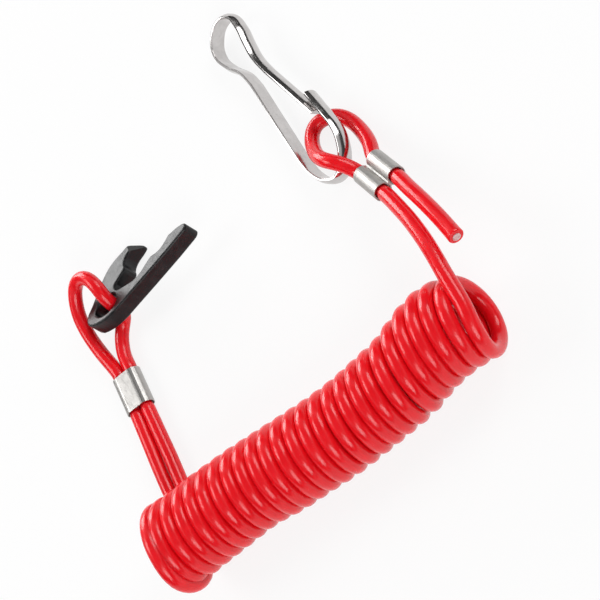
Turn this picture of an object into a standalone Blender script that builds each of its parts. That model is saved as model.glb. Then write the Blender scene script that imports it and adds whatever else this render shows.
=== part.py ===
"""Lanyard for an engine kill switch: a fork key and a snap hook on a coiled cord.

The lanyard lies at rest on a floor at Z = 0, as it would on a workbench.
All sizes below are millimetres, and MM turns them into metres.
"""
import math

import bmesh
import bpy
from mathutils import Matrix, Vector

MM = 0.001
WELD_DISTANCE = 0.002
POINT_WEIGHT = 1.0
COLLECTION_NAME = "kill_switch_lanyard"

# The part's origin on the floor, seen from the point under the coil's middle.
ORIGIN_X = -0.05
ORIGIN_Y = 87.4

# Cord
CORD_DIAMETER = 4.6
CORD_SIDES = 10
CORD_STEP = 4.6
CURVE_SAMPLES = 24
GAP = 0.3

# Coil, whose axis runs along X and bows a little sideways
COIL_OUTER_DIAMETER = 25.6
COIL_LEFT_X = -62.1
COIL_RIGHT_X = 58.0
COIL_LEFT_FLARE = 2.2
COIL_RIGHT_FLARE = 1.2
COIL_FLARE_LENGTH = 22.0
COIL_SIDES = 36
COIL_STATIONS = 21
COIL_BOW = (
    (-62.1, -4.6), (-50.0, -4.2), (-32.1, -3.9), (-17.0, -5.1), (0.0, -6.1),
    (11.7, -6.2), (25.4, -5.3), (38.8, -2.9), (48.0, -2.5), (58.0, -2.7),
)

# Crimped sleeves
CRIMPED_CORD_DIAMETER = 4.0
SLEEVE_WALL = 0.55
SLEEVE_MOUTH_LENGTH = 0.7
SLEEVE_SIDES = 32
CRIMP_RUN = 1.4

KEY_SLEEVE = {
    "length": 12.6, "strand_spacing": 4.4, "web_height": 5.7,
    "centre": (-54.2, 49.7, 2.85), "heading": -91.0, "dip": 0.0, "roll": 0.0,
}
HOOK_SLEEVE = {
    "length": 12.6, "strand_spacing": 5.9, "web_height": 1.8,
    "centre": (51.8, 49.3, 11.5), "heading": -70.9, "dip": -19.9, "roll": -5.9,
}

# Key, a flat moulded fork with an eye, in its own plane: X along it, Y across it
KEY_THICKNESS = 5.6
KEY_EDGE_RADIUS = 0.6
KEY_TILT = 24.0
KEY_YAW = 12.0
KEY_PLACE = (-37.0, 89.5)
KEY_OUTLINE = (
    (26.3, -19.8, "smooth"), (25.5, -21.2, "smooth"), (23.6, -21.6, "smooth"),
    (-5.0, -20.4, "smooth"), (-10.6, -19.9, "smooth"), (-16.0, -17.9, "smooth"),
    (-20.2, -14.0, "smooth"), (-20.1, -10.4, "smooth"), (-16.4, -7.4, "smooth"),
    (-8.4, -1.4, "smooth"), (-4.0, 0.3, "smooth"), (1.6, 0.1, "smooth"),
    (7.0, -0.9, "smooth"), (7.9, -2.0, "smooth"), (6.8, -2.8, "smooth"),
    (2.4, -3.8, "smooth"), (0.6, -5.6, "smooth"), (0.1, -7.8, "smooth"),
    (-3.2, -9.1, "smooth"), (-5.9, -10.2, "smooth"), (-5.9, -12.3, "smooth"),
    (-2.4, -15.0, "smooth"), (3.2, -17.4, "smooth"), (8.6, -16.4, "smooth"),
    (10.6, -16.0, "corner"), (14.5, -17.5, "smooth"), (19.4, -16.2, "corner"),
    (25.2, -18.3, "smooth"),
)
KEY_NOSE_X = 7.9
KEY_NOSE_CHAMFER_LENGTH = 3.6
KEY_NOSE_TIP_THICKNESS = 1.4
KEY_NOSE_Y = -1.8
KEY_NOSE_CUT_LENGTH = 12.0
KEY_NOSE_CUT_WIDTH = 7.0
KEY_EYE_CENTRE = (-11.4, -14.0)
KEY_EYE_LENGTH = 10.2
KEY_EYE_WIDTH = 7.2
KEY_EYE_TURN = -24.0
KEY_EYE_POINTS = 12

# Hook, one flat strip bent edge-on: X toward the latch, Y toward the head
STRIP_WIDTH = 5.5
STRIP_INNER_DEPTH = 0.55
STRIP_OUTER_DEPTH = 0.15
STRIP_CROWN = 0.7
STRIP_CROWN_POINTS = 7
HOOK_PLACE = (34.9, 65.9)
HOOK_ROLL = 19.2
HOOK_PITCH = 2.4
HOOK_LINE = (
    (11.2, 15.4, "corner"), (4.2, 39.0, "corner"), (2.9, 46.0, "smooth"), (3.1, 52.0, "smooth"),
    (3.9, 58.6, "smooth"), (2.6, 64.2, "smooth"), (-2.2, 66.5, "smooth"), (-7.2, 64.0, "smooth"),
    (-9.1, 59.0, "smooth"), (-7.4, 53.2, "smooth"), (-4.2, 46.4, "smooth"), (-3.1, 40.0, "corner"),
    (-2.2, 8.0, "corner"), (-1.0, 2.2, "smooth"), (2.4, -3.2, "smooth"), (6.8, -5.2, "smooth"),
    (10.6, -2.6, "smooth"), (13.6, 2.4, "smooth"), (14.5, 7.4, "smooth"), (13.9, 13.0, "corner"),
    (12.6, 22.2, "corner"),
)
STRIP_STEPS = 4
STRIP_EDGE_RADIUS = 0.2

# Cord's way from the coil to the hook's sleeve, round the hook, and on to its cut end
HOOK_LEAD = (
    (56.4, 8.5, 23.9), (56.1, 19.0, 22.0), (55.2, 25.4, 20.2), (53.9, 32.2, 17.9), (52.1, 39.2, 15.4),
)
HOOK_LOOP = (
    (44.6, 60.2, 10.6), (43.0, 62.4, 12.1), (40.6, 65.2, 11.6), (38.4, 68.8, 9.6),
    (37.3, 72.6, 7.0), (37.2, 76.3, 4.6), (38.2, 79.8, 2.9), (40.6, 82.0, 2.3),
    (44.2, 81.6, 2.3), (47.8, 79.4, 2.3), (50.6, 75.5, 2.6), (52.3, 69.1, 3.8), (53.2, 62.3, 6.2),
)
HOOK_TAIL = ((57.6, 40.9, 14.7), (59.6, 33.5, 17.2), (61.5, 26.1, 19.4), (63.1, 18.9, 21.3), (64.0, 13.8, 22.4))

# Cord's way from the coil to the key's sleeve, through the key's eye, and back
KEY_LEAD = ((-57.9, 6.2, 2.3), (-57.9, 14.0, 2.3), (-57.7, 24.0, 2.3), (-57.1, 34.0, 2.5))
KEY_LOOP = (
    (-57.0, 61.0, 3.0), (-58.4, 67.6, 3.8), (-59.0, 74.6, 5.2), (-58.2, 80.6, 7.2),
    (-55.8, 85.0, 9.4), (-52.4, 88.0, 11.6), (-48.6, 88.0, 13.4), (-45.4, 85.2, 14.6),
    (-43.8, 81.2, 14.8), (-43.8, 77.8, 13.4), (-44.1, 75.6, 10.8), (-43.8, 74.1, 8.2),
    (-43.8, 73.0, 5.8), (-44.7, 71.8, 3.9), (-46.8, 70.2, 2.9), (-49.0, 67.2, 2.5),
    (-51.2, 62.6, 2.5),
)
KEY_TAIL = ((-52.4, 34.0, 2.5), (-52.6, 24.0, 2.3), (-53.0, 14.0, 2.3), (-53.2, 6.2, 2.3))

# Upright axes that the hung pieces swing about, each inside the cord's loop
KEY_SWING_AXIS = (-44.0, 74.5)
HOOK_SWING_AXIS = (41.0, 63.5)

# Colours, roughness and metallic value
FINISHES = {
    "red_cord": ((0.62, 0.012, 0.02), 0.3, 0.0),
    "black_plastic": ((0.035, 0.035, 0.04), 0.45, 0.0),
    "plated_steel": ((0.72, 0.71, 0.69), 0.22, 1.0),
    "satin_sleeve": ((0.55, 0.55, 0.54), 0.4, 1.0),
}


def place(x, y, z=0.0):
    """A point measured from under the coil's middle, as a position of the part."""
    return Vector((x - ORIGIN_X, y - ORIGIN_Y, z)) * MM


def clear_scene():
    for old in list(bpy.data.objects):
        bpy.data.objects.remove(old, do_unlink=True)


def new_collection(name):
    made = bpy.data.collections.new(name)
    bpy.context.scene.collection.children.link(made)
    return made


def finish(name):
    colour, roughness, metallic = FINISHES[name]
    material = bpy.data.materials.get(name) or bpy.data.materials.new(name)
    material.use_nodes = True
    shader = material.node_tree.nodes["Principled BSDF"]
    shader.inputs["Base Color"].default_value = (*colour, 1.0)
    shader.inputs["Roughness"].default_value = roughness
    shader.inputs["Metallic"].default_value = metallic
    return material


def add_object(name, data, collection, finish_name=None):
    made = bpy.data.objects.new(name, data)
    collection.objects.link(made)
    if finish_name:
        data.materials.append(finish(finish_name))
    return made


def smooth_points(route, step, pins=()):
    """Points about a step apart on the smooth curve through the route's points.

    The route's ends and the points that pins lists by number are kept among them.
    """
    ends = [2 * route[0] - route[1], *route, 2 * route[-1] - route[-2]]
    stops = sorted({0, *pins, len(route) - 1})
    points = [route[0]]
    for first, last in zip(stops, stops[1:]):
        dense = [route[first]]
        for i in range(first, last):
            before, start, end, after = ends[i:i + 4]
            for j in range(1, CURVE_SAMPLES + 1):
                t = j / CURVE_SAMPLES
                dense.append(0.5 * (
                    2 * start + (end - before) * t
                    + (2 * before - 5 * start + 4 * end - after) * t ** 2
                    + (3 * start - before - 3 * end + after) * t ** 3
                ))
        lengths = [0.0]
        for a, b in zip(dense, dense[1:]):
            lengths.append(lengths[-1] + (b - a).length)
        count = max(1, round(lengths[-1] / step))
        at = 0
        for i in range(1, count + 1):
            wanted = lengths[-1] * i / count
            while at < len(dense) - 2 and lengths[at + 1] < wanted:
                at += 1
            share = (wanted - lengths[at]) / (lengths[at + 1] - lengths[at])
            points.append(dense[at].lerp(dense[at + 1], share))
    return points


def poly_curve(name, points, radii=None):
    curve = bpy.data.curves.new(name, "CURVE")
    curve.dimensions = "3D"
    spline = curve.splines.new("POLY")
    spline.points.add(len(points) - 1)
    for i, point in enumerate(points):
        spline.points[i].co = (*point, POINT_WEIGHT)
        spline.points[i].radius = radii[i] if radii else 1.0
    return curve


def flat_curve(name, lines, closed):
    """A 2D curve through (x, y, kind) points, round at a smooth one."""
    curve = bpy.data.curves.new(name, "CURVE")
    curve.dimensions = "2D"
    for line in lines:
        spline = curve.splines.new("BEZIER")
        spline.bezier_points.add(len(line) - 1)
        spline.use_cyclic_u = closed
        for point, (x, y, kind) in zip(spline.bezier_points, line):
            point.co = (x * MM, y * MM, 0.0)
            handle = "AUTO" if kind == "smooth" else "VECTOR"
            point.handle_left_type = handle
            point.handle_right_type = handle
    return curve


def as_mesh(obj, collection, finish_name=None):
    """The object as a closed mesh in the same place, in place of its curve."""
    bpy.context.view_layer.update()
    evaluated = obj.evaluated_get(bpy.context.evaluated_depsgraph_get())
    mesh = bpy.data.meshes.new_from_object(evaluated)
    work = bmesh.new()
    work.from_mesh(mesh)
    bmesh.ops.remove_doubles(work, verts=work.verts, dist=WELD_DISTANCE * MM)
    bmesh.ops.recalc_face_normals(work, faces=work.faces)
    work.to_mesh(mesh)
    work.free()
    name, matrix = obj.name, obj.matrix_world.copy()
    old = obj.data
    bpy.data.objects.remove(obj, do_unlink=True)
    bpy.data.curves.remove(old)
    mesh.name = name
    mesh.materials.clear()
    made = add_object(name, mesh, collection, finish_name)
    made.matrix_world = matrix
    return made


def cut(obj, cutter, operation="DIFFERENCE"):
    cutter.hide_render = True
    cutter.display_type = "WIRE"
    step = obj.modifiers.new(cutter.name, "BOOLEAN")
    step.operation = operation
    step.object = cutter
    step.solver = "EXACT"


def rest_on_floor(obj, height=0.0):
    """Raises or lowers the object until its lowest point is at the height."""
    bpy.context.view_layer.update()
    evaluated = obj.evaluated_get(bpy.context.evaluated_depsgraph_get())
    mesh = evaluated.to_mesh()
    lowest = min((obj.matrix_world @ vertex.co).z for vertex in mesh.vertices)
    evaluated.to_mesh_clear()
    obj.location.z += height * MM - lowest
    bpy.context.view_layer.update()


def hang(obj, name, axis_place, collection):
    """Parents the object to an empty that stands on its swing axis."""
    axis = add_object(name, None, collection)
    axis.location = place(*axis_place)
    bpy.context.view_layer.update()
    obj.parent = axis
    obj.matrix_parent_inverse = axis.matrix_world.inverted()


def coil_radius(x):
    flare = 0.0
    for end_x, growth in ((COIL_LEFT_X, COIL_LEFT_FLARE), (COIL_RIGHT_X, COIL_RIGHT_FLARE)):
        near = max(0.0, 1 - abs(x - end_x) / COIL_FLARE_LENGTH)
        flare += growth / 2 * (3 - 2 * near) * near ** 2
    return COIL_OUTER_DIAMETER / 2 + flare


def make_coil(collection):
    """The curly cord's turns as one thick-walled tube that lies on the floor."""
    bow = [Vector((x, y, 0)) for x, y in COIL_BOW]
    step = (COIL_RIGHT_X - COIL_LEFT_X) / (COIL_STATIONS - 1)
    line = smooth_points(bow, step)
    points = [place(p.x, p.y, coil_radius(p.x)) for p in line]
    radii = [2 * coil_radius(p.x) / COIL_OUTER_DIAMETER for p in line]
    curve = poly_curve("coiled_cord", points, radii)
    curve.bevel_depth = COIL_OUTER_DIAMETER / 2 * MM
    curve.bevel_resolution = (COIL_SIDES - 4) // 2
    coil = add_object("coiled_cord", curve, collection, "red_cord")
    wall = coil.modifiers.new("wall", "SOLIDIFY")
    wall.thickness = CORD_DIAMETER * MM
    wall.offset = -1.0
    return coil


def sleeve_strands(sleeve):
    """The frame of a sleeve, and both its bores as pairs of end points."""
    heading, dip = math.radians(sleeve["heading"]), math.radians(sleeve["dip"])
    along = Vector((
        math.cos(heading) * math.cos(dip), math.sin(heading) * math.cos(dip), -math.sin(dip)))
    level = Vector((-math.sin(heading), math.cos(heading), 0))
    across = Matrix.Rotation(math.radians(sleeve["roll"]), 3, along) @ level
    frame = Matrix((along, across, along.cross(across))).transposed()
    reach = along * sleeve["length"] / 2
    bores = []
    for side in (-0.5, 0.5):
        middle = Vector(sleeve["centre"]) + across * sleeve["strand_spacing"] * side
        bores.append((middle - reach, middle + reach))
    return frame, bores


def cord_radius(point):
    """The cord's share of its full radius, less where a sleeve squeezes it."""
    for start, end in sleeve_strands(KEY_SLEEVE)[1] + sleeve_strands(HOOK_SLEEVE)[1]:
        axis = (end - start).normalized()
        run = (point - start).dot(axis)
        off = (point - start - axis * run).length
        if off < GAP and -GAP < run < (end - start).length + GAP:
            return CRIMPED_CORD_DIAMETER / CORD_DIAMETER
    return 1.0


def cord_route(lead, loop, tail, sleeve):
    """The route's own points and the sleeve's bores between, and which of them are pins."""
    bores = sleeve_strands(sleeve)[1]
    bores.sort(key=lambda bore: (bore[1] - Vector(lead[-1])).length)
    route = [Vector(point) for point in lead]
    pins = []
    for (start, end), after in zip((bores[0][::-1], bores[1]), (loop, tail)):
        past = (end - start).normalized() * CRIMP_RUN
        run = [start - past, start, start.lerp(end, 1 / 3), start.lerp(end, 2 / 3), end, end + past]
        pins += [len(route) + i for i in (0, 1, 4, 5)]
        route += run + [Vector(point) for point in after]
    return route, pins


def make_cord_end(name, stretches, sleeve, collection):
    """A stretch of cord that isn't coiled, as one tube through its sleeve."""
    route, pins = cord_route(*stretches, sleeve)
    line = smooth_points(route, CORD_STEP, pins)
    radii = [cord_radius(point) for point in line]
    curve = poly_curve(name, [place(*point) for point in line], radii)
    curve.bevel_depth = CORD_DIAMETER / 2 * MM
    curve.bevel_resolution = (CORD_SIDES - 4) // 2
    curve.use_fill_caps = True
    return add_object(name, curve, collection, "red_cord")


def barrel(name, start, end, radius, collection):
    """A round bar between two points of the lanyard."""
    first, last = place(*start), place(*end)
    mesh = bpy.data.meshes.new(name)
    work = bmesh.new()
    bmesh.ops.create_cone(
        work, cap_ends=True, segments=SLEEVE_SIDES, radius1=radius * MM, radius2=radius * MM,
        depth=(last - first).length,
    )
    work.to_mesh(mesh)
    work.free()
    made = add_object(name, mesh, collection)
    turn = Vector((0, 0, 1)).rotation_difference(last - first)
    made.matrix_world = Matrix.Translation((first + last) / 2) @ turn.to_matrix().to_4x4()
    return made


def make_sleeve(name, sleeve, collection, cutters):
    """A crimped sleeve round two strands: two barrels and the web that joins them."""
    inner = CRIMPED_CORD_DIAMETER / 2 + GAP
    outer = inner + SLEEVE_WALL
    mouth = CORD_DIAMETER / 2 + GAP
    frame, bores = sleeve_strands(sleeve)
    along = frame.col[0]
    body = barrel(name, *bores[0], outer, collection)
    body.data.materials.append(finish("satin_sleeve"))
    cut(body, barrel(name + "_second_barrel", *bores[1], outer, cutters), "UNION")
    web = bpy.data.meshes.new(name + "_web")
    work = bmesh.new()
    bmesh.ops.create_cube(work, size=MM)
    size = Matrix.Diagonal((sleeve["length"], sleeve["strand_spacing"], sleeve["web_height"], 1))
    bmesh.ops.transform(work, matrix=size, verts=work.verts)
    work.to_mesh(web)
    work.free()
    bridge = add_object(name + "_web", web, cutters)
    bridge.matrix_world = Matrix.Translation(place(*sleeve["centre"])) @ frame.to_4x4()
    cut(body, bridge, "UNION")
    beyond = along * CORD_DIAMETER
    inside = along * SLEEVE_MOUTH_LENGTH
    for i, (start, end) in enumerate(bores):
        cut(body, barrel(f"{name}_bore_{i}", start - beyond, end + beyond, inner, cutters))
        cut(body, barrel(f"{name}_mouth_{i}_0", start - beyond, start + inside, mouth, cutters))
        cut(body, barrel(f"{name}_mouth_{i}_1", end - inside, end + beyond, mouth, cutters))
    return body


def make_key(collection, cutters):
    """The fork key: two prongs, a pocket between them and an eye for the cord."""
    turn = math.radians(KEY_EYE_TURN)
    eye = []
    for i in range(KEY_EYE_POINTS):
        angle = -2 * math.pi * i / KEY_EYE_POINTS
        x = KEY_EYE_LENGTH / 2 * math.cos(angle)
        y = KEY_EYE_WIDTH / 2 * math.sin(angle)
        eye.append((
            KEY_EYE_CENTRE[0] + x * math.cos(turn) - y * math.sin(turn),
            KEY_EYE_CENTRE[1] + x * math.sin(turn) + y * math.cos(turn),
            "smooth",
        ))
    curve = flat_curve("kill_key", (KEY_OUTLINE, eye), closed=True)
    curve.resolution_u = 3
    curve.fill_mode = "BOTH"
    curve.extrude = (KEY_THICKNESS / 2 - KEY_EDGE_RADIUS) * MM
    curve.bevel_depth = KEY_EDGE_RADIUS * MM
    curve.bevel_resolution = 2
    curve.offset = -KEY_EDGE_RADIUS * MM
    flat = add_object("kill_key", curve, collection)
    tilt = Matrix.Rotation(math.radians(KEY_YAW), 4, "Z") @ Matrix.Rotation(
        -math.radians(KEY_TILT), 4, "X")
    frame = Matrix.Translation(place(*KEY_PLACE)) @ tilt
    flat.matrix_world = frame
    key = as_mesh(flat, collection, "black_plastic")
    key.matrix_world = frame

    drop = KEY_THICKNESS - KEY_NOSE_TIP_THICKNESS
    slope = math.atan2(drop, KEY_NOSE_CHAMFER_LENGTH)
    wedge_mesh = bpy.data.meshes.new("nose_chamfer")
    work = bmesh.new()
    bmesh.ops.create_cube(work, size=1.0)
    size = Matrix.Diagonal((KEY_NOSE_CUT_LENGTH, KEY_NOSE_CUT_WIDTH, KEY_THICKNESS, 1 / MM)) * MM
    lift = Matrix.Translation((0, 0, KEY_THICKNESS / 2 * MM))
    bmesh.ops.transform(work, matrix=lift @ size, verts=work.verts)
    work.to_mesh(wedge_mesh)
    work.free()
    wedge = add_object("nose_chamfer", wedge_mesh, cutters)
    middle_x = KEY_NOSE_X - KEY_NOSE_CHAMFER_LENGTH / 2
    middle_z = KEY_THICKNESS / 2 - drop / 2
    centre = Matrix.Translation(Vector((middle_x, KEY_NOSE_Y, middle_z)) * MM)
    wedge.matrix_world = frame @ centre @ Matrix.Rotation(slope, 4, "Y")
    cut(key, wedge)
    rest_on_floor(key)
    wedge.location.z += key.location.z - frame.translation.z
    return key


def strip_section():
    """The strip's section: flat on its inner side and crowned on its outer side."""
    half = STRIP_WIDTH / 2
    points = [(-STRIP_INNER_DEPTH, half), (-STRIP_INNER_DEPTH, -half)]
    for i in range(STRIP_CROWN_POINTS):
        share = 2 * i / (STRIP_CROWN_POINTS - 1) - 1
        points.append((STRIP_OUTER_DEPTH + STRIP_CROWN * (1 - share ** 2), half * share))
    section = bpy.data.curves.new("strip_section", "CURVE")
    section.dimensions = "2D"
    spline = section.splines.new("POLY")
    spline.points.add(len(points) - 1)
    spline.use_cyclic_u = True
    for corner, (x, y) in zip(spline.points, points):
        corner.co = (x * MM, y * MM, 0.0, POINT_WEIGHT)
    return section


def make_hook(collection):
    """The snap hook: one strip bent into a head, an arm, a base and a springy gate."""
    section = add_object("strip_section", strip_section(), collection)
    curve = flat_curve("snap_hook", (HOOK_LINE,), closed=False)
    curve.resolution_u = STRIP_STEPS
    curve.bevel_mode = "OBJECT"
    curve.bevel_object = section
    curve.use_fill_caps = True
    hook = as_mesh(add_object("snap_hook", curve, collection), collection, "plated_steel")
    bpy.data.objects.remove(section, do_unlink=True)
    edge = hook.modifiers.new("strip_edges", "BEVEL")
    edge.width = STRIP_EDGE_RADIUS * MM
    edge.segments = 2
    edge.limit_method = "ANGLE"
    edge.angle_limit = math.radians(60)
    tilt = Matrix.Rotation(math.radians(HOOK_PITCH), 4, "X") @ Matrix.Rotation(
        -math.radians(HOOK_ROLL), 4, "Y")
    hook.matrix_world = Matrix.Translation(place(*HOOK_PLACE)) @ tilt
    rest_on_floor(hook)
    return hook


def shade_round(collection):
    for obj in collection.objects:
        if obj.type == "MESH":
            obj.data.shade_smooth()
            obj.data.set_sharp_from_angle(angle=math.radians(35))
        elif obj.type == "CURVE":
            for spline in obj.data.splines:
                spline.use_smooth = True


def main():
    clear_scene()
    parts = new_collection(COLLECTION_NAME)
    cutters = new_collection("cutters")
    make_coil(parts)
    make_cord_end("hook_end_cord", (HOOK_LEAD, HOOK_LOOP, HOOK_TAIL), HOOK_SLEEVE, parts)
    make_cord_end("key_end_cord", (KEY_LEAD, KEY_LOOP, KEY_TAIL), KEY_SLEEVE, parts)
    make_sleeve("key_sleeve", KEY_SLEEVE, parts, cutters)
    make_sleeve("hook_sleeve", HOOK_SLEEVE, parts, cutters)
    hang(make_key(parts, cutters), "key_swing", KEY_SWING_AXIS, parts)
    hang(make_hook(parts), "hook_swing", HOOK_SWING_AXIS, parts)
    shade_round(parts)


main()
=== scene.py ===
import bpy
import math
from mathutils import Matrix, Vector


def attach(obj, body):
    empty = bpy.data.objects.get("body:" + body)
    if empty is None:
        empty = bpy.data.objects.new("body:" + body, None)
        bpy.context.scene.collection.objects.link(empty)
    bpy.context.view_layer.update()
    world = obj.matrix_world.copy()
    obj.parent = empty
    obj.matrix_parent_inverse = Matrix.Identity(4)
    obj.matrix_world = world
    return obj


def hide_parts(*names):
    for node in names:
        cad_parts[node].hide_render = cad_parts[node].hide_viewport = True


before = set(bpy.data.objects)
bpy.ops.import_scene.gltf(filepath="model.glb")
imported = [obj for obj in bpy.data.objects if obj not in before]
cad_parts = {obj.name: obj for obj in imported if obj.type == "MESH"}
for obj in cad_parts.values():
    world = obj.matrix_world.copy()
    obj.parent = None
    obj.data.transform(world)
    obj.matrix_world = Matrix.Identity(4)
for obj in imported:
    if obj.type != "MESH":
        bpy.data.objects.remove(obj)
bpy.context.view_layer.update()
print("lanyard: frame loaded")

mm = 0.001
floorPoint = Vector((0.05, -87.4, 0.0))  # where the places below start, under the coil


def spot(x, y, z=0.0):
    return (Vector((x, y, z)) + floorPoint) * mm


def easeShare(share):
    share = min(1.0, max(0.0, share))
    return share * share * (3 - 2 * share)


# The view that the photograph was taken from
viewPoint = {
    "place": (0.147466, -0.236306, 0.355231),
    "right": (0.7385, -0.4308, -0.5187),
    "up": (0.5895, 0.7859, 0.1867),
    "back": (0.3272, -0.4436, 0.8343),
    "lens": 86.4,
    "sensor": 36,
    "nearest": 0.01,
    "furthest": 20,
}


def addCamera():
    lensData = bpy.data.cameras.new("lanyardCamera")
    lensData.lens = viewPoint["lens"]
    lensData.sensor_width = viewPoint["sensor"]
    lensData.clip_start = viewPoint["nearest"]
    lensData.clip_end = viewPoint["furthest"]
    camera = bpy.data.objects.new("lanyardCamera", lensData)
    bpy.context.scene.collection.objects.link(camera)
    turn = Matrix((viewPoint["right"], viewPoint["up"], viewPoint["back"])).transposed()
    camera.matrix_world = Matrix.Translation(viewPoint["place"]) @ turn.to_4x4()
    bpy.context.scene.camera = camera
    print("lanyard: camera set")


# Helpers for the finishes
def newFinish(name):
    finish = bpy.data.materials.new(name)
    finish.use_nodes = True
    return finish, finish.node_tree, finish.node_tree.nodes["Principled BSDF"]


def addNode(tree, kind, settings=None, values=None):
    node = tree.nodes.new(kind)
    for name, value in (settings or {}).items():
        setattr(node, name, value)
    for name, value in (values or {}).items():
        node.inputs[name].default_value = value
    return node


def addRamp(tree, source, low, high, lowValue, highValue):
    ramp = addNode(tree, "ShaderNodeMapRange", {"interpolation_type": "SMOOTHSTEP"}, {
        "From Min": low, "From Max": high, "To Min": lowValue, "To Max": highValue})
    tree.links.new(source, ramp.inputs["Value"])
    return ramp.outputs["Result"]


def addBlend(tree, share, first, second):
    blend = addNode(tree, "ShaderNodeMix", {"data_type": "RGBA"})
    tree.links.new(share, blend.inputs["Factor"])
    for source, socket in ((first, "A_Color"), (second, "B_Color")):
        inlet = next(s for s in blend.inputs if s.identifier == socket)
        if isinstance(source, tuple):
            inlet.default_value = (*source, 1)
        else:
            tree.links.new(source, inlet)
    return next(s for s in blend.outputs if s.identifier == "Result_Color")


def addSum(tree, first, second, operation="ADD"):
    total = addNode(tree, "ShaderNodeMath", {"operation": operation})
    for socket, source in zip(total.inputs, (first, second)):
        if isinstance(source, (int, float)):
            socket.default_value = source
        else:
            tree.links.new(source, socket)
    return total.outputs[0]


def startGroup(name, inlets, outlets):
    group = bpy.data.node_groups.new(name, "ShaderNodeTree")
    for title, kind, value in inlets:
        socket = group.interface.new_socket(title, in_out="INPUT", socket_type=kind)
        if value is not None:
            socket.default_value = value
    for title in outlets:
        group.interface.new_socket(title, in_out="OUTPUT", socket_type="NodeSocketFloat")
    return group, group.nodes.new("NodeGroupInput"), group.nodes.new("NodeGroupOutput")


# Where each kind of mark starts and is full, in the value of its noise
markLimits = {"Smudge": (0.38, 0.64), "Scratch": (0.5, 0.72), "Speck": (0.7, 0.76)}


def makeMarks():
    marks, given, made = startGroup("handlingMarks", (
        ("Vector", "NodeSocketVector", None), ("Brushed", "NodeSocketVector", None),
        ("Smudges", "NodeSocketFloat", 300.0), ("Specks", "NodeSocketFloat", 2200.0),
    ), ("Smudge", "Scratch", "Speck"))
    cloud = addNode(marks, "ShaderNodeTexNoise", None, {"Detail": 5.0, "Roughness": 0.62, "Distortion": 0.6})
    marks.links.new(given.outputs["Vector"], cloud.inputs["Vector"])
    marks.links.new(given.outputs["Smudges"], cloud.inputs["Scale"])
    streak = addNode(marks, "ShaderNodeTexNoise", None, {"Scale": 1.0, "Detail": 3.0, "Roughness": 0.7})
    marks.links.new(given.outputs["Brushed"], streak.inputs["Vector"])
    dust = addNode(marks, "ShaderNodeTexNoise", None, {"Detail": 1.0})
    marks.links.new(given.outputs["Vector"], dust.inputs["Vector"])
    marks.links.new(given.outputs["Specks"], dust.inputs["Scale"])
    for title, noise in (("Smudge", cloud), ("Scratch", streak), ("Speck", dust)):
        mask = addRamp(marks, noise.outputs["Fac"], *markLimits[title], 0.0, 1.0)
        marks.links.new(mask, made.inputs[title])
    return marks


def makeGrain():
    grain, given, made = startGroup("mouldedGrain", (
        ("Vector", "NodeSocketVector", None), ("Fine", "NodeSocketFloat", 4000.0),
        ("Coarse", "NodeSocketFloat", 700.0), ("Waviness", "NodeSocketFloat", 0.5),
    ), ("Height",))
    fine = addNode(grain, "ShaderNodeTexNoise", None, {"Detail": 2.0})
    coarse = addNode(grain, "ShaderNodeTexNoise", None, {"Detail": 2.0})
    for noise, size in ((fine, "Fine"), (coarse, "Coarse")):
        grain.links.new(given.outputs["Vector"], noise.inputs["Vector"])
        grain.links.new(given.outputs[size], noise.inputs["Scale"])
    waves = addSum(grain, coarse.outputs["Fac"], given.outputs["Waviness"], "MULTIPLY")
    grain.links.new(addSum(grain, fine.outputs["Fac"], waves), made.inputs["Height"])
    return grain


effects = {"marks": makeMarks(), "grain": makeGrain()}


def objectPlace(tree, turn=(0, 0, 0), scale=(1, 1, 1)):
    place = addNode(tree, "ShaderNodeTexCoord")
    turned = addNode(tree, "ShaderNodeMapping", None, {"Rotation": turn, "Scale": scale})
    tree.links.new(place.outputs["Object"], turned.inputs["Vector"])
    return turned.outputs["Vector"]


def addEffect(tree, name, values, **vectors):
    effect = addNode(tree, "ShaderNodeGroup", {"node_tree": effects[name]}, values)
    for title, source in vectors.items():
        tree.links.new(source, effect.inputs[title])
    return effect.outputs


def addBump(tree, shader, height, depth):
    bump = addNode(tree, "ShaderNodeBump", None, {"Strength": 1.0, "Distance": depth * mm})
    tree.links.new(height, bump.inputs["Height"])
    tree.links.new(bump.outputs["Normal"], shader.inputs["Normal"])


# One cord: cut end, sleeve, loop round the hook, sleeve, coil, sleeve, loop through the key, hidden end
cordSizes = {
    "diameter": 4.6,
    "pinched": 4.0,
    "routeStep": 1.0,
    "stretchSteps": 24,  # between two places of a route, before the places are spread evenly
    "smoothing": 6,
    "sides": 8,
    "coilJoin": 7,  # places of the coil that each straight end takes over
    "holdGap": 0.3,  # how near to a sleeve's bore the cord is held and pinched
}
coilSizes = {
    "turns": 25.5,
    "turnPoints": 44,
    "frontX": 54.29,
    "pitch": 4.541,
    "endGrowth": 2.6,
    "endTurns": 0.6,
    "endLift": 3.6,
    "endLiftTurns": 0.19,
}
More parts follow.
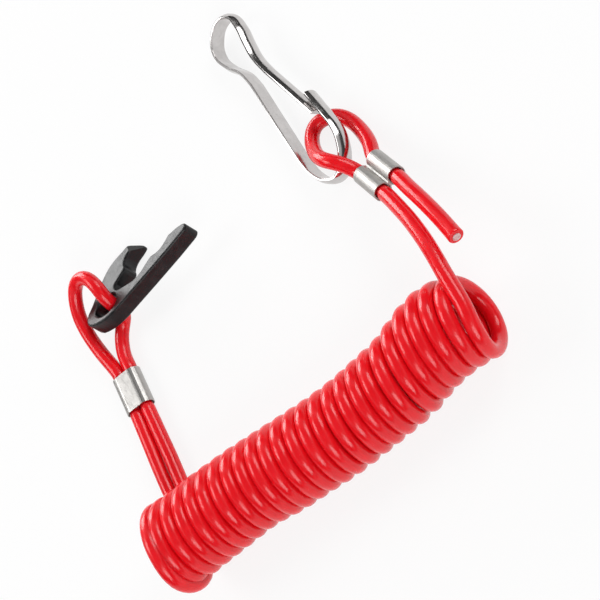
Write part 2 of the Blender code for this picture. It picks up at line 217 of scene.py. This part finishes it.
# How far the cord lies to the right of an even winding, by turn: the mouth's turns lean together
turnShifts = (
    (-0.1, 2.6), (0.0, 1.9), (0.12, 0.95), (0.25, 0.15), (0.35, 1.3), (0.45, 3.0), (0.54, 4.2), (0.62, 4.6),
    (0.72, 4.2), (0.85, 2.8), (1.0, 1.6), (1.12, 0.95), (1.25, 0.15), (1.35, 1.3), (1.45, 3.0), (1.54, 4.2),
    (1.62, 4.6), (1.72, 4.2), (1.85, 2.85), (2.0, 1.6), (2.12, 0.8), (2.25, 0.15), (2.35, 1.2), (2.45, 2.6),
    (2.54, 3.7), (2.62, 4.1), (2.72, 3.8), (2.85, 2.8), (3.0, 1.6), (3.12, 0.9), (3.25, 0.4), (3.45, 2.0),
    (3.62, 3.0), (3.8, 2.6), (4.0, 1.6), (4.25, 0.9), (4.62, 2.0), (5.0, 1.4), (5.25, 1.05), (5.62, 1.4),
    (6.25, 0.7), (7.25, 0.65), (8.25, 0.75), (9.25, 0.85), (10.25, 0.65), (11.25, 0.45), (12.25, 0.45),
    (14.25, 0.55), (16.25, 0.7), (18.25, 0.5), (20.25, 0.35), (22.25, 0.55), (24.25, 0.65), (24.6, 1.0),
    (24.85, 2.0), (25.05, 2.6), (25.2, 2.5), (25.34, 4.4), (25.5, 6.0), (25.6, 6.6),
)
# Along the coil: place, sideways bow and outer radius
coilForm = (
    (-63.0, -4.6, 13.95), (-58.0, -4.5, 13.8), (-50.0, -4.2, 13.4), (-37.1, -4.0, 13.15), (-27.0, -4.0, 12.9),
    (-17.0, -5.1, 13.1), (-7.2, -5.7, 12.95), (2.4, -6.3, 12.9), (11.7, -6.2, 12.75), (20.9, -5.7, 12.9),
    (29.9, -4.9, 13.1), (38.8, -2.5, 13.4), (47.5, -1.8, 13.5), (58.0, -3.9, 12.5),
)
hookTail = (
    (64.04, 13.78, 22.43), (63.07, 18.95, 21.26), (62.37, 22.46, 20.39), (61.53, 26.07, 19.42),
    (60.61, 29.74, 18.36), (59.59, 33.54, 17.19), (58.44, 37.41, 15.91), (57.57, 40.91, 14.71),
)
hookLoop = (
    (52.9, 62.5, 6.3), (52.1, 69.2, 3.8), (50.4, 75.5, 2.6), (47.8, 79.4, 2.3), (44.2, 81.6, 2.3),
    (40.6, 82.0, 2.3), (38.2, 79.8, 2.9), (37.3, 76.0, 4.6), (37.5, 71.9, 7.0), (38.5, 67.9, 9.6),
    (40.4, 64.3, 11.6), (42.6, 61.5, 12.1), (44.3, 59.6, 10.9),
)
hookLead = (
    (52.08, 39.23, 15.36), (52.97, 35.79, 16.65), (53.85, 32.22, 17.93), (54.66, 28.77, 19.11),
    (55.23, 25.41, 20.16), (55.71, 22.12, 21.12), (56.1, 18.96, 21.95), (56.35, 15.36, 22.78),
    (56.45, 11.37, 23.3), (56.4, 6.5, 23.75),
)
keyLead = (
    (-55.6, 0.0, 2.3), (-56.6, 5.0, 2.3), (-57.6, 10.0, 2.3), (-57.9, 15.0, 2.3), (-57.7, 24.0, 2.3),
    (-57.1, 34.0, 2.5),
)
keyLoop = (
    (-57.0, 61.0, 3.0), (-58.4, 67.6, 3.8), (-59.0, 74.6, 5.2), (-58.2, 80.6, 7.2), (-55.8, 85.0, 9.4),
    (-52.4, 88.0, 11.6), (-48.6, 88.0, 13.4), (-45.4, 85.2, 14.6), (-43.8, 81.2, 14.8), (-43.8, 77.8, 13.4),
    (-44.1, 75.6, 10.8), (-43.8, 74.1, 8.2), (-43.8, 73.0, 5.8), (-45.3, 72.2, 3.9), (-47.7, 70.9, 2.9),
    (-50.3, 67.6, 2.5), (-52.0, 62.4, 2.5),
)
keyTail = ((-52.4, 34.0, 2.5), (-52.6, 24.0, 2.3), (-53.0, 14.0, 2.3), (-53.2, 6.2, 2.3))

sleeves = {
    "key": {"length": 12.6, "spacing": 4.4, "centre": (-54.2, 49.7, 2.85), "heading": -91.0, "dip": 0.0,
            "roll": 0.0},
    "hook": {"length": 12.6, "spacing": 5.9, "centre": (51.8, 49.3, 11.5), "heading": -70.9, "dip": -19.9,
             "roll": -5.9},
    "crimpRun": 1.4,
}


def sleeveBores(sleeve):
    heading, dip = math.radians(sleeve["heading"]), math.radians(sleeve["dip"])
    along = Vector((math.cos(heading) * math.cos(dip), math.sin(heading) * math.cos(dip), -math.sin(dip)))
    level = Vector((-math.sin(heading), math.cos(heading), 0))
    across = Matrix.Rotation(math.radians(sleeve["roll"]), 3, along) @ level
    middle = Vector(sleeve["centre"])
    reach = along * sleeve["length"] / 2
    return [(middle + across * sleeve["spacing"] * side - reach,
             middle + across * sleeve["spacing"] * side + reach) for side in (-0.5, 0.5)]


def throughSleeve(sleeve, comingFrom):
    ends = [end for bore in sleeveBores(sleeve) for end in bore]
    nearEnd = min(ends, key=lambda end: (end - comingFrom).length)
    start, end = next(bore for bore in sleeveBores(sleeve) if nearEnd in bore)
    if end == nearEnd:
        start, end = end, start
    past = (end - start).normalized() * sleeves["crimpRun"]
    return [start - past, start, start.lerp(end, 1 / 3), start.lerp(end, 2 / 3), end, end + past]


# Smooth values between knots: each knot is a place and the values there
def alongKnots(knots, at):
    last = len(knots) - 1
    i = next((i for i in range(last) if at <= knots[i + 1][0]), last - 1)
    slopes = []
    for j in (i, i + 1):
        before, after = knots[max(0, j - 1)], knots[min(last, j + 1)]
        slopes.append([(b - a) / (after[0] - before[0]) for a, b in zip(before[1:], after[1:])])
    (start, *firsts), (end, *seconds) = knots[i], knots[i + 1]
    run = end - start
    t = min(1.0, max(0.0, (at - start) / run))
    weights = (2 * t ** 3 - 3 * t ** 2 + 1, t ** 3 - 2 * t ** 2 + t, 3 * t ** 2 - 2 * t ** 3, t ** 3 - t ** 2)
    return [weights[0] * a + weights[1] * run * m + weights[2] * b + weights[3] * run * n
            for a, m, b, n in zip(firsts, slopes[0], seconds, slopes[1])]


def coilPoints():
    points = []
    count = int(coilSizes["turns"] * coilSizes["turnPoints"])
    for i in range(count + 1):
        turn = coilSizes["turns"] * i / count
        angle = math.pi / 2 + 2 * math.pi * turn
        x = coilSizes["frontX"] - coilSizes["pitch"] * turn + alongKnots(turnShifts, turn)[0]
        side, outer = alongKnots(coilForm, x)
        outer += coilSizes["endGrowth"] * easeShare((turn - coilSizes["turns"]) / coilSizes["endTurns"] + 1)
        radius = outer - cordSizes["diameter"] / 2
        fromLift = (turn - coilSizes["turns"] + 1) / coilSizes["endLiftTurns"]
        lift = coilSizes["endLift"] * math.exp(-fromLift ** 2)
        points.append(Vector((x, side + radius * math.cos(angle), outer + lift + radius * math.sin(angle))))
    return points


# A curve through the route's places, with points at even steps
def smoothRun(route):
    ends = [2 * route[0] - route[1], *route, 2 * route[-1] - route[-2]]
    dense = [route[0]]
    steps = cordSizes["stretchSteps"]
    for i in range(len(route) - 1):
        before, start, end, after = ends[i:i + 4]
        squared = 2 * before - 5 * start + 4 * end - after
        cubed = 3 * start - before - 3 * end + after
        for j in range(1, steps + 1):
            t = j / steps
            dense.append(0.5 * (2 * start + (end - before) * t + squared * t ** 2 + cubed * t ** 3))
    lengths = [0.0]
    for a, b in zip(dense, dense[1:]):
        lengths.append(lengths[-1] + (b - a).length)
    count = round(lengths[-1] / cordSizes["routeStep"])
    points = []
    at = 0
    for i in range(count + 1):
        wanted = lengths[-1] * i / count
        while at < len(dense) - 2 and lengths[at + 1] < wanted:
            at += 1
        share = (wanted - lengths[at]) / (lengths[at + 1] - lengths[at])
        points.append(dense[at].lerp(dense[at + 1], share))
    held = [pinchAt(point) < 1 for point in points]
    for _ in range(cordSizes["smoothing"]):
        points = [point if i in (0, count) or held[i] else (points[i - 1] + 2 * point + points[i + 1]) / 4
                  for i, point in enumerate(points)]
    return points


def cordPath():
    first = [Vector(p) for p in hookTail]
    first += throughSleeve(sleeves["hook"], first[-1])
    first += [Vector(p) for p in hookLoop]
    first += throughSleeve(sleeves["hook"], first[-1])
    first += [Vector(p) for p in hookLead]
    coil = coilPoints()
    second = [Vector(p) for p in keyLead]
    second += throughSleeve(sleeves["key"], second[-1])
    second += [Vector(p) for p in keyLoop]
    second += throughSleeve(sleeves["key"], second[-1])
    second += [Vector(p) for p in keyTail]
    join = cordSizes["coilJoin"]
    opening = smoothRun(first + [coil[0], coil[join // 2], coil[join - 1]])
    closing = smoothRun([coil[-join], coil[-join + join // 2], coil[-1]] + second)
    return opening + coil[join:-join] + closing


# The share of its thickness that the cord keeps: less inside the crimped sleeves
def pinchAt(point):
    gap = cordSizes["holdGap"]
    for name in ("key", "hook"):
        for start, end in sleeveBores(sleeves[name]):
            axis = (end - start).normalized()
            run = (point - start).dot(axis)
            aside = (point - start - axis * run).length
            if aside < gap and -gap < run < (end - start).length + gap:
                return cordSizes["pinched"] / cordSizes["diameter"]
    return 1.0


cutEnd = {
    "rim": ((0.0, 0.90), (0.12, 0.97), (0.35, 1.02), (1.2, 1.01)),  # how far in, share of the radius
    "coreRadius": 1.2,
    "coreDepth": 0.5,
    "coreDome": 0.22,
    "domeSteps": ((0.16, 0.6), (0.3, 0.28), (0.36, 0.12)),  # inset, share of the dome
    "coreSides": 28,
    "upright": 0.9,  # how straight up a face looks that belongs to the core's outer end
    "smoothAngle": 40,
}


def makeCord():
    path = cordPath()
    inward = (path[2] - path[0]).normalized()
    line = [(path[0] + inward * run, share) for run, share in cutEnd["rim"]]
    line += [(point, pinchAt(point)) for point in path[2:]]
    curve = bpy.data.curves.new("redCord", "CURVE")
    curve.dimensions = "3D"
    spline = curve.splines.new("POLY")
    spline.points.add(len(line) - 1)
    for knot, (point, share) in zip(spline.points, line):
        knot.co = (*spot(*point), 1.0)
        knot.radius = share
    spline.use_smooth = True
    curve.bevel_depth = cordSizes["diameter"] / 2 * mm
    curve.bevel_resolution = cordSizes["sides"]
    curve.use_fill_caps = True
    cord = bpy.data.objects.new("redCord", curve)
    bpy.context.scene.collection.objects.link(cord)
    curve.materials.append(cordFinish())
    core = makeCore(path[0], -inward)
    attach(cord, "cord")
    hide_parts("coiled_cord", "hook_end_cord", "key_end_cord")


def makeCore(place, outward):
    bpy.ops.object.select_all(action="DESELECT")
    bpy.ops.mesh.primitive_cylinder_add(
        vertices=cutEnd["coreSides"], radius=cutEnd["coreRadius"] * mm, depth=cutEnd["coreDepth"] * mm)
    core = bpy.context.object
    core.name = "cordCore"
    bpy.ops.object.mode_set(mode="EDIT")
    bpy.ops.mesh.select_all(action="DESELECT")
    bpy.ops.object.mode_set(mode="OBJECT")
    for face in core.data.polygons:
        face.select = face.normal.z > cutEnd["upright"]
    bpy.ops.object.mode_set(mode="EDIT")
    for inset, lift in cutEnd["domeSteps"]:
        bpy.ops.mesh.inset(thickness=inset * mm)
        bpy.ops.transform.translate(value=(0, 0, cutEnd["coreDome"] * lift * mm))
    bpy.ops.object.mode_set(mode="OBJECT")
    turn = Vector((0, 0, 1)).rotation_difference(outward).to_matrix().to_4x4()
    core.matrix_world = Matrix.Translation(spot(*place)) @ turn
    bpy.ops.object.transform_apply(location=True, rotation=True, scale=True)
    bpy.ops.object.shade_smooth_by_angle(angle=math.radians(cutEnd["smoothAngle"]))
    core.data.materials.append(coreFinish())
    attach(core, "cord")
    return core


# Hook: one flat strip bent edge-on, flat on its inner side and crowned on its outer side
hookShape = {
    "place": (34.1, 65.85),
    "roll": 19.2,
    "pitch": 2.4,
    "width": 5.5,
    "innerDepth": 0.55,
    "outerDepth": 0.15,
    "crown": 1.05,
    "crownPoints": 17,
    "steps": 14,
    "mergeGap": 0.002,
    "edgeRadius": 0.24,
    "edgeSteps": 3,
    "edgeAngle": 60,
    "smoothAngle": 45,
}
# Across and along the hook: from the latch's tip round the head, down the arm and round the base
hookLine = (
    (11.2, 15.4, "corner"), (4.2, 39.0, "corner"), (2.9, 46.0, "smooth"), (3.1, 52.0, "smooth"),
    (3.7, 58.5, "smooth"), (2.5, 63.8, "smooth"), (-2.2, 66.0, "smooth"), (-7.4, 63.4, "smooth"),
    (-9.6, 58.4, "smooth"), (-8.0, 52.4, "smooth"), (-4.4, 46.0, "smooth"), (-3.1, 40.0, "corner"),
    (-2.2, 8.0, "corner"), (-1.0, 2.2, "smooth"), (2.4, -3.2, "smooth"), (6.8, -5.2, "smooth"),
    (10.6, -2.6, "smooth"), (13.6, 2.4, "smooth"), (14.5, 7.4, "smooth"), (13.9, 13.0, "corner"),
    (12.6, 22.2, "corner"),
)


def makeHook():
    half = hookShape["width"] / 2
    profile = bpy.data.curves.new("hookProfile", "CURVE")
    profile.dimensions = "2D"
    edge = profile.splines.new("POLY")
    corners = [(-hookShape["innerDepth"], half), (-hookShape["innerDepth"], -half)]
    for i in range(hookShape["crownPoints"]):
        share = 2 * i / (hookShape["crownPoints"] - 1) - 1
        corners.append((hookShape["outerDepth"] + hookShape["crown"] * (1 - share ** 2), half * share))
    edge.points.add(len(corners) - 1)
    edge.use_cyclic_u = True
    for corner, (x, y) in zip(edge.points, corners):
        corner.co = (x * mm, y * mm, 0.0, 1.0)
    profileHolder = bpy.data.objects.new("hookProfile", profile)
    bpy.context.scene.collection.objects.link(profileHolder)

    line = bpy.data.curves.new("bentStripHook", "CURVE")
    line.dimensions = "2D"
    bend = line.splines.new("BEZIER")
    bend.bezier_points.add(len(hookLine) - 1)
    for knot, (x, y, kind) in zip(bend.bezier_points, hookLine):
        knot.co = (x * mm, y * mm, 0.0)
        knot.handle_left_type = knot.handle_right_type = "AUTO" if kind == "smooth" else "VECTOR"
    line.resolution_u = hookShape["steps"]
    line.bevel_mode = "OBJECT"
    line.bevel_object = profileHolder
    line.use_fill_caps = True
    hook = bpy.data.objects.new("bentStripHook", line)
    bpy.context.scene.collection.objects.link(hook)
    bpy.ops.object.select_all(action="DESELECT")
    hook.select_set(True)
    bpy.context.view_layer.objects.active = hook
    bpy.ops.object.convert(target="MESH")
    hook = bpy.context.object
    bpy.data.objects.remove(profileHolder)
    bpy.ops.object.mode_set(mode="EDIT")
    bpy.ops.mesh.select_all(action="SELECT")
    bpy.ops.mesh.remove_doubles(threshold=hookShape["mergeGap"] * mm)
    bpy.ops.mesh.normals_make_consistent(inside=False)
    bpy.ops.object.mode_set(mode="OBJECT")
    rounded = hook.modifiers.new("roundedEdges", "BEVEL")
    rounded.width = hookShape["edgeRadius"] * mm
    rounded.segments = hookShape["edgeSteps"]
    rounded.limit_method = "ANGLE"
    rounded.angle_limit = math.radians(hookShape["edgeAngle"])
    bpy.ops.object.modifier_apply(modifier=rounded.name)
    tilt = (Matrix.Rotation(math.radians(hookShape["pitch"]), 4, "X")
            @ Matrix.Rotation(-math.radians(hookShape["roll"]), 4, "Y"))
    hook.matrix_world = Matrix.Translation(spot(*hookShape["place"])) @ tilt
    bpy.ops.object.transform_apply(location=True, rotation=True, scale=True)
    lowest = min(corner.co.z for corner in hook.data.vertices)
    hook.location.z = -lowest
    bpy.ops.object.transform_apply(location=True, rotation=True, scale=True)
    bpy.ops.object.shade_smooth_by_angle(angle=math.radians(hookShape["smoothAngle"]))
    hook.data.materials.clear()
    hook.data.materials.append(hookFinish())
    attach(hook, "hook")
    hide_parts("snap_hook")
    print("lanyard: hook bent,", len(hook.data.polygons), "faces")


# Finishes
cordLook = {
    "red": (0.86, 0.008, 0.016), "deepRed": (0.82, 0.006, 0.013),
    "glossy": 0.17, "dull": 0.24, "smudges": 240.0, "specks": 1500.0, "dustRoughness": 0.06,
    "fineGrain": 2600.0, "coarseGrain": 420.0, "waviness": 1.6, "bumpDepth": 0.0012, "ior": 1.46,
    "glow": 0.36, "glowDepth": 1.8, "glowSpread": (1.0, 0.12, 0.1),
}
coreLook = {
    "pale": (0.80, 0.62, 0.60), "stained": (0.62, 0.30, 0.30), "stainLimits": (0.7, 1.2), "roughness": 0.5,
    "fineGrain": 5200.0, "coarseGrain": 1800.0, "waviness": 1.0, "bumpDepth": 0.05,
}
sleeveLook = {
    "bright": (0.52, 0.505, 0.485), "dull": (0.48, 0.467, 0.449), "speck": (0.34, 0.33, 0.32),
    "smooth": 0.34, "rough": 0.38, "smudges": 420.0, "specks": 2600.0, "bumpDepth": 0.004,
    "brushed": (900, 160, 900),
}
# Painted shade: both sleeves are the same satin metal. Each sleeve's colours are scaled by its shade to stand
# for how the light falls on it, so the key's sleeve (0.86) is darker than the hook's (0.96). extraRoughness
# is the sleeve's own roughness.
paintedSleeveShades = {
    "key_sleeve": {"name": "keySleevePaintedShadeFinish", "shade": 0.86, "extraRoughness": 0.0},
    "hook_sleeve": {"name": "hookSleevePaintedShadeFinish", "shade": 0.96, "extraRoughness": 0.12},
}
hookLook = {
    "bright": (0.60, 0.578, 0.570), "dull": (0.54, 0.520, 0.512), "speck": (0.40, 0.38, 0.37),
    "smooth": 0.10, "rough": 0.16, "smudges": 200.0, "specks": 2100.0, "bumpDepth": 0.004,
    "brushed": (120, 120, 3600),
}
metalGrain = {
    "fineGrain": 3800.0, "coarseGrain": 620.0, "waviness": 1.4, "scratchRoughness": 0.1, "scratchDepth": 0.5,
}
keyLook = {
    "black": (0.004, 0.004, 0.005), "worn": (0.008, 0.008, 0.009), "speck": (0.04, 0.04, 0.042),
    "smooth": 0.30, "rough": 0.37, "smudges": 300.0, "specks": 1900.0, "brushed": (200, 2400, 900),
    "scratchRoughness": 0.08, "fineGrain": 5200.0, "coarseGrain": 1100.0, "waviness": 0.8,
    "bumpDepth": 0.02, "sheen": 0.38,
}


def addMarks(tree, look, place, brushed):
    return addEffect(tree, "marks", {"Smudges": look["smudges"], "Specks": look["specks"]},
                     Vector=place, Brushed=brushed)


def addGrain(tree, look, place):
    sizes = {"Fine": look["fineGrain"], "Coarse": look["coarseGrain"], "Waviness": look["waviness"]}
    return addEffect(tree, "grain", sizes, Vector=place)["Height"]


def cordFinish():
    finish, tree, shader = newFinish("redCordFinish")
    place = objectPlace(tree)
    marks = addMarks(tree, cordLook, place, place)
    grain = addGrain(tree, cordLook, place)
    tree.links.new(addBlend(tree, marks["Smudge"], cordLook["deepRed"], cordLook["red"]),
                   shader.inputs["Base Color"])
    roughness = addRamp(tree, marks["Smudge"], 0.0, 1.0, cordLook["glossy"], cordLook["dull"])
    dust = addRamp(tree, marks["Speck"], 0, 1, 0, cordLook["dustRoughness"])
    tree.links.new(addSum(tree, roughness, dust), shader.inputs["Roughness"])
    addBump(tree, shader, grain, cordLook["bumpDepth"])
    shader.inputs["IOR"].default_value = cordLook["ior"]
    shader.inputs["Subsurface Weight"].default_value = cordLook["glow"]
    shader.inputs["Subsurface Radius"].default_value = cordLook["glowSpread"]
    shader.inputs["Subsurface Scale"].default_value = cordLook["glowDepth"] * mm
    return finish


def coreFinish():
    finish, tree, shader = newFinish("cordCoreFinish")
    grain = addGrain(tree, coreLook, objectPlace(tree))
    shade = addRamp(tree, grain, *coreLook["stainLimits"], 0.0, 1.0)
    tree.links.new(addBlend(tree, shade, coreLook["stained"], coreLook["pale"]), shader.inputs["Base Color"])
    shader.inputs["Roughness"].default_value = coreLook["roughness"]
    addBump(tree, shader, grain, coreLook["bumpDepth"])
    return finish


def metalFinish(name, look, turn=(0, 0, 0)):
    finish, tree, shader = newFinish(name)
    place = objectPlace(tree)
    marks = addMarks(tree, look, place, objectPlace(tree, turn, look["brushed"]))
    grain = addGrain(tree, metalGrain, place)
    metal = addBlend(tree, marks["Smudge"], look["bright"], look["dull"])
    tree.links.new(addBlend(tree, marks["Speck"], metal, look["speck"]), shader.inputs["Base Color"])
    roughness = addRamp(tree, marks["Smudge"], 0.0, 1.0, look["smooth"], look["rough"])
    rubbed = addRamp(tree, marks["Scratch"], 0, 1, 0, metalGrain["scratchRoughness"])
    tree.links.new(addSum(tree, roughness, rubbed), shader.inputs["Roughness"])
    cut = addRamp(tree, marks["Scratch"], 0, 1, 0, -metalGrain["scratchDepth"])
    addBump(tree, shader, addSum(tree, grain, cut), look["bumpDepth"])
    shader.inputs["Metallic"].default_value = 1.0
    return finish


def paintedShadeSleeveFinish(tone):
    look = dict(sleeveLook)
    # Painted shade: the metal's colours are darkened by this sleeve's shade
    for colour in ("bright", "dull", "speck"):
        look[colour] = tuple(part * tone["shade"] for part in sleeveLook[colour])
    for value in ("smooth", "rough"):
        look[value] += tone["extraRoughness"]
    return metalFinish(tone["name"], look)


def hookFinish():
    tilt = (math.radians(hookShape["pitch"]), math.radians(-hookShape["roll"]), 0)
    return metalFinish("platedHookFinish", hookLook, tilt)


def keyFinish():
    finish, tree, shader = newFinish("mouldedKeyFinish")
    place = objectPlace(tree)
    marks = addMarks(tree, keyLook, place, objectPlace(tree, scale=keyLook["brushed"]))
    plastic = addBlend(tree, marks["Smudge"], keyLook["black"], keyLook["worn"])
    tree.links.new(addBlend(tree, marks["Speck"], plastic, keyLook["speck"]), shader.inputs["Base Color"])
    roughness = addRamp(tree, marks["Smudge"], 0.0, 1.0, keyLook["smooth"], keyLook["rough"])
    rubbed = addRamp(tree, marks["Scratch"], 0, 1, 0, keyLook["scratchRoughness"])
    tree.links.new(addSum(tree, roughness, rubbed), shader.inputs["Roughness"])
    addBump(tree, shader, addGrain(tree, keyLook, place), keyLook["bumpDepth"])
    shader.inputs["Specular IOR Level"].default_value = keyLook["sheen"]
    return finish


def dress(node, finish):
    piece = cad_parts[node]
    piece.data.materials.clear()
    piece.data.materials.append(finish)
    print("lanyard:", node, "dressed")


# Softboxes, each with its direction from the lanyard, its size and how bright it shows in a reflection
studio = {
    "distance": 1.0,
    "lamps": (
        ("rightRear", (0.778, 0.314, 0.545), 0.50, 4.6),
        ("leftRear", (-0.68, 0.26, 0.68), 0.48, 4.4),
        ("front", (0.039, -0.840, 0.542), 0.56, 4.2),
        ("back", (-0.42, 0.88, 0.22), 0.58, 6.6),
    ),
    "skySeen": 1.0,  # what the camera sees past the floor
    "sky": ((0.0, 0.04), (0.40, 0.08), (0.52, 0.60), (0.62, 0.60), (0.80, 0.22), (1.0, 0.16)),
    "floorSize": 6.0,
    "floorTone": 0.9,
    "floorGlow": 0.86,
}


def lightStudio():
    for name, direction, size, radiance in studio["lamps"]:
        lamp = bpy.data.lights.new(name, "AREA")
        lamp.shape = "SQUARE"
        lamp.size = size
        lamp.energy = radiance * math.pi * size ** 2
        holder = bpy.data.objects.new(name, lamp)
        bpy.context.scene.collection.objects.link(holder)
        away = Vector(direction).normalized()
        holder.location = away * studio["distance"]
        holder.rotation_mode = "QUATERNION"
        holder.rotation_quaternion = away.to_track_quat("Z", "Y")
    world = bpy.data.worlds.new("studioWorld")
    bpy.context.scene.world = world
    world.use_nodes = True
    tree = world.node_tree
    tree.nodes.clear()
    place = addNode(tree, "ShaderNodeTexCoord")
    split = addNode(tree, "ShaderNodeSeparateXYZ")
    tree.links.new(place.outputs["Generated"], split.inputs[0])
    sky = addNode(tree, "ShaderNodeValToRGB")
    sky.color_ramp.interpolation = "EASE"
    stops = sky.color_ramp.elements
    while len(stops) < len(studio["sky"]):
        stops.new(0.5)
    for stop, (height, tone) in zip(stops, studio["sky"]):
        stop.position = height
        stop.color = (tone, tone, tone, 1)
    tree.links.new(split.outputs["Z"], sky.inputs["Fac"])
    lit = addNode(tree, "ShaderNodeBackground")
    tree.links.new(sky.outputs["Color"], lit.inputs["Color"])
    seen = addNode(tree, "ShaderNodeBackground", None, {"Color": (*[studio["skySeen"]] * 3, 1)})
    ray = addNode(tree, "ShaderNodeLightPath")
    mix = addNode(tree, "ShaderNodeMixShader")
    out = addNode(tree, "ShaderNodeOutputWorld")
    tree.links.new(ray.outputs["Is Camera Ray"], mix.inputs[0])
    tree.links.new(lit.outputs[0], mix.inputs[1])
    tree.links.new(seen.outputs[0], mix.inputs[2])
    tree.links.new(mix.outputs[0], out.inputs["Surface"])
    print("lanyard: studio lit")


def layFloor():
    bpy.ops.mesh.primitive_plane_add(size=studio["floorSize"], location=(0, 0, 0))
    floor = bpy.context.object
    floor.name = "paleFloor"
    finish, tree, shader = newFinish("floorFinish")
    tree.nodes.remove(shader)
    matt = addNode(tree, "ShaderNodeBsdfDiffuse", None, {"Color": (*[studio["floorTone"]] * 3, 1)})
    glow = addNode(tree, "ShaderNodeEmission", None, {"Strength": 1.0})
    ray = addNode(tree, "ShaderNodeLightPath").outputs
    shown = addSum(tree, ray["Is Camera Ray"], ray["Is Glossy Ray"], "MAXIMUM")
    shown = addSum(tree, shown, ray["Is Transmission Ray"], "MAXIMUM")
    mix = addNode(tree, "ShaderNodeMixShader")
    tree.links.new(addSum(tree, shown, studio["floorGlow"], "MULTIPLY"), mix.inputs[0])
    tree.links.new(matt.outputs[0], mix.inputs[1])
    tree.links.new(glow.outputs[0], mix.inputs[2])
    tree.links.new(mix.outputs[0], tree.nodes["Material Output"].inputs["Surface"])
    floor.data.materials.append(finish)
    print("lanyard: floor laid")


addCamera()
makeCord()
makeHook()
# Each sleeve gets the same metal with its own painted shade
for sleeveNode, sleevePaintedShade in paintedSleeveShades.items():
    dress(sleeveNode, paintedShadeSleeveFinish(sleevePaintedShade))
dress("kill_key", keyFinish())
lightStudio()
layFloor()
bpy.context.scene.view_settings.view_transform = "Standard"
print("lanyard: finished")
